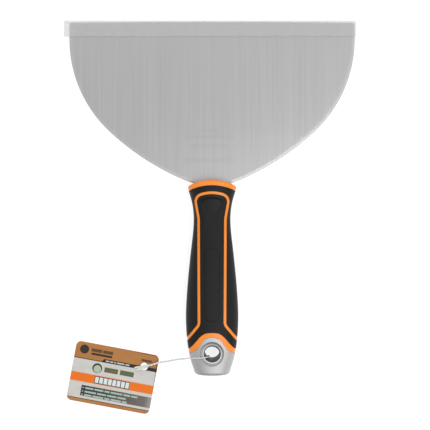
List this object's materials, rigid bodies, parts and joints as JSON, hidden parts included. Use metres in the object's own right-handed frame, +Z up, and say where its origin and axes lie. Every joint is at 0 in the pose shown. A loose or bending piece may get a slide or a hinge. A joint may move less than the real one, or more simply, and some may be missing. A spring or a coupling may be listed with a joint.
{
  "type": "flexible putty knife",
  "caption": "Wide flexible putty knife with a hollow-ground steel blade, edge guard, soft-grip handle, metal hammer cap with a hanging hole, and a hang tag on a string.",
  "frame": {"origin": "on the floor under the middle of the knife, which lies level on its back", "axes": "+X across the blade, +Y along the handle towards the working edge, +Z up out of the front face"},
  "size_m": [0.2081, 0.2831, 0.0252],
  "materials": {
    "blade_steel": "fine brush lines along the knife, satin",
    "orange_plastic": "smooth moulded polypropylene",
    "black_rubber": "matt soft grip, very fine texture",
    "cast_zinc": "satin cast and tumbled metal",
    "pin_steel": "plain steel",
    "frosted_plastic": "frosted translucent plastic",
    "tag_card": "printed card",
    "cotton_string": "twisted cotton"
  },
  "bodies": {
    "handle": {"handle_core": "orange_plastic", "tang": "blade_steel", "palm_grip": "black_rubber", "flank_grip": "black_rubber", "hammer_cap": "cast_zinc", "cap_pins": "pin_steel", "string_lead": "cotton_string", "string_front": "cotton_string", "string_back": "cotton_string", "tag_knot": "cotton_string"},
    "blade": {"blade": "blade_steel"},
    "guard": {"edge_guard": "frosted_plastic"},
    "tag": {"hang_tag": "tag_card"}
  },
  "joints": [
    {"name": "blade_flex", "type": "hinge", "parent": "handle", "child": "blade", "pos_m": [0, 0.011, 0.01255], "axis": [1, 0, 0], "range_deg": [-10, 10], "stiffness_Nm_per_rad": 30},
    {"name": "guard_slide", "type": "slide", "parent": "blade", "child": "guard", "axis": [0, 1, 0], "range_m": [0, 0.025]},
    {"name": "tag_swing", "type": "hinge", "parent": "handle", "child": "tag", "pos_m": [-0.0494, -0.1224, 0.00025], "axis": [0, 0, 1], "range_deg": [-45, 45]}
  ]
}
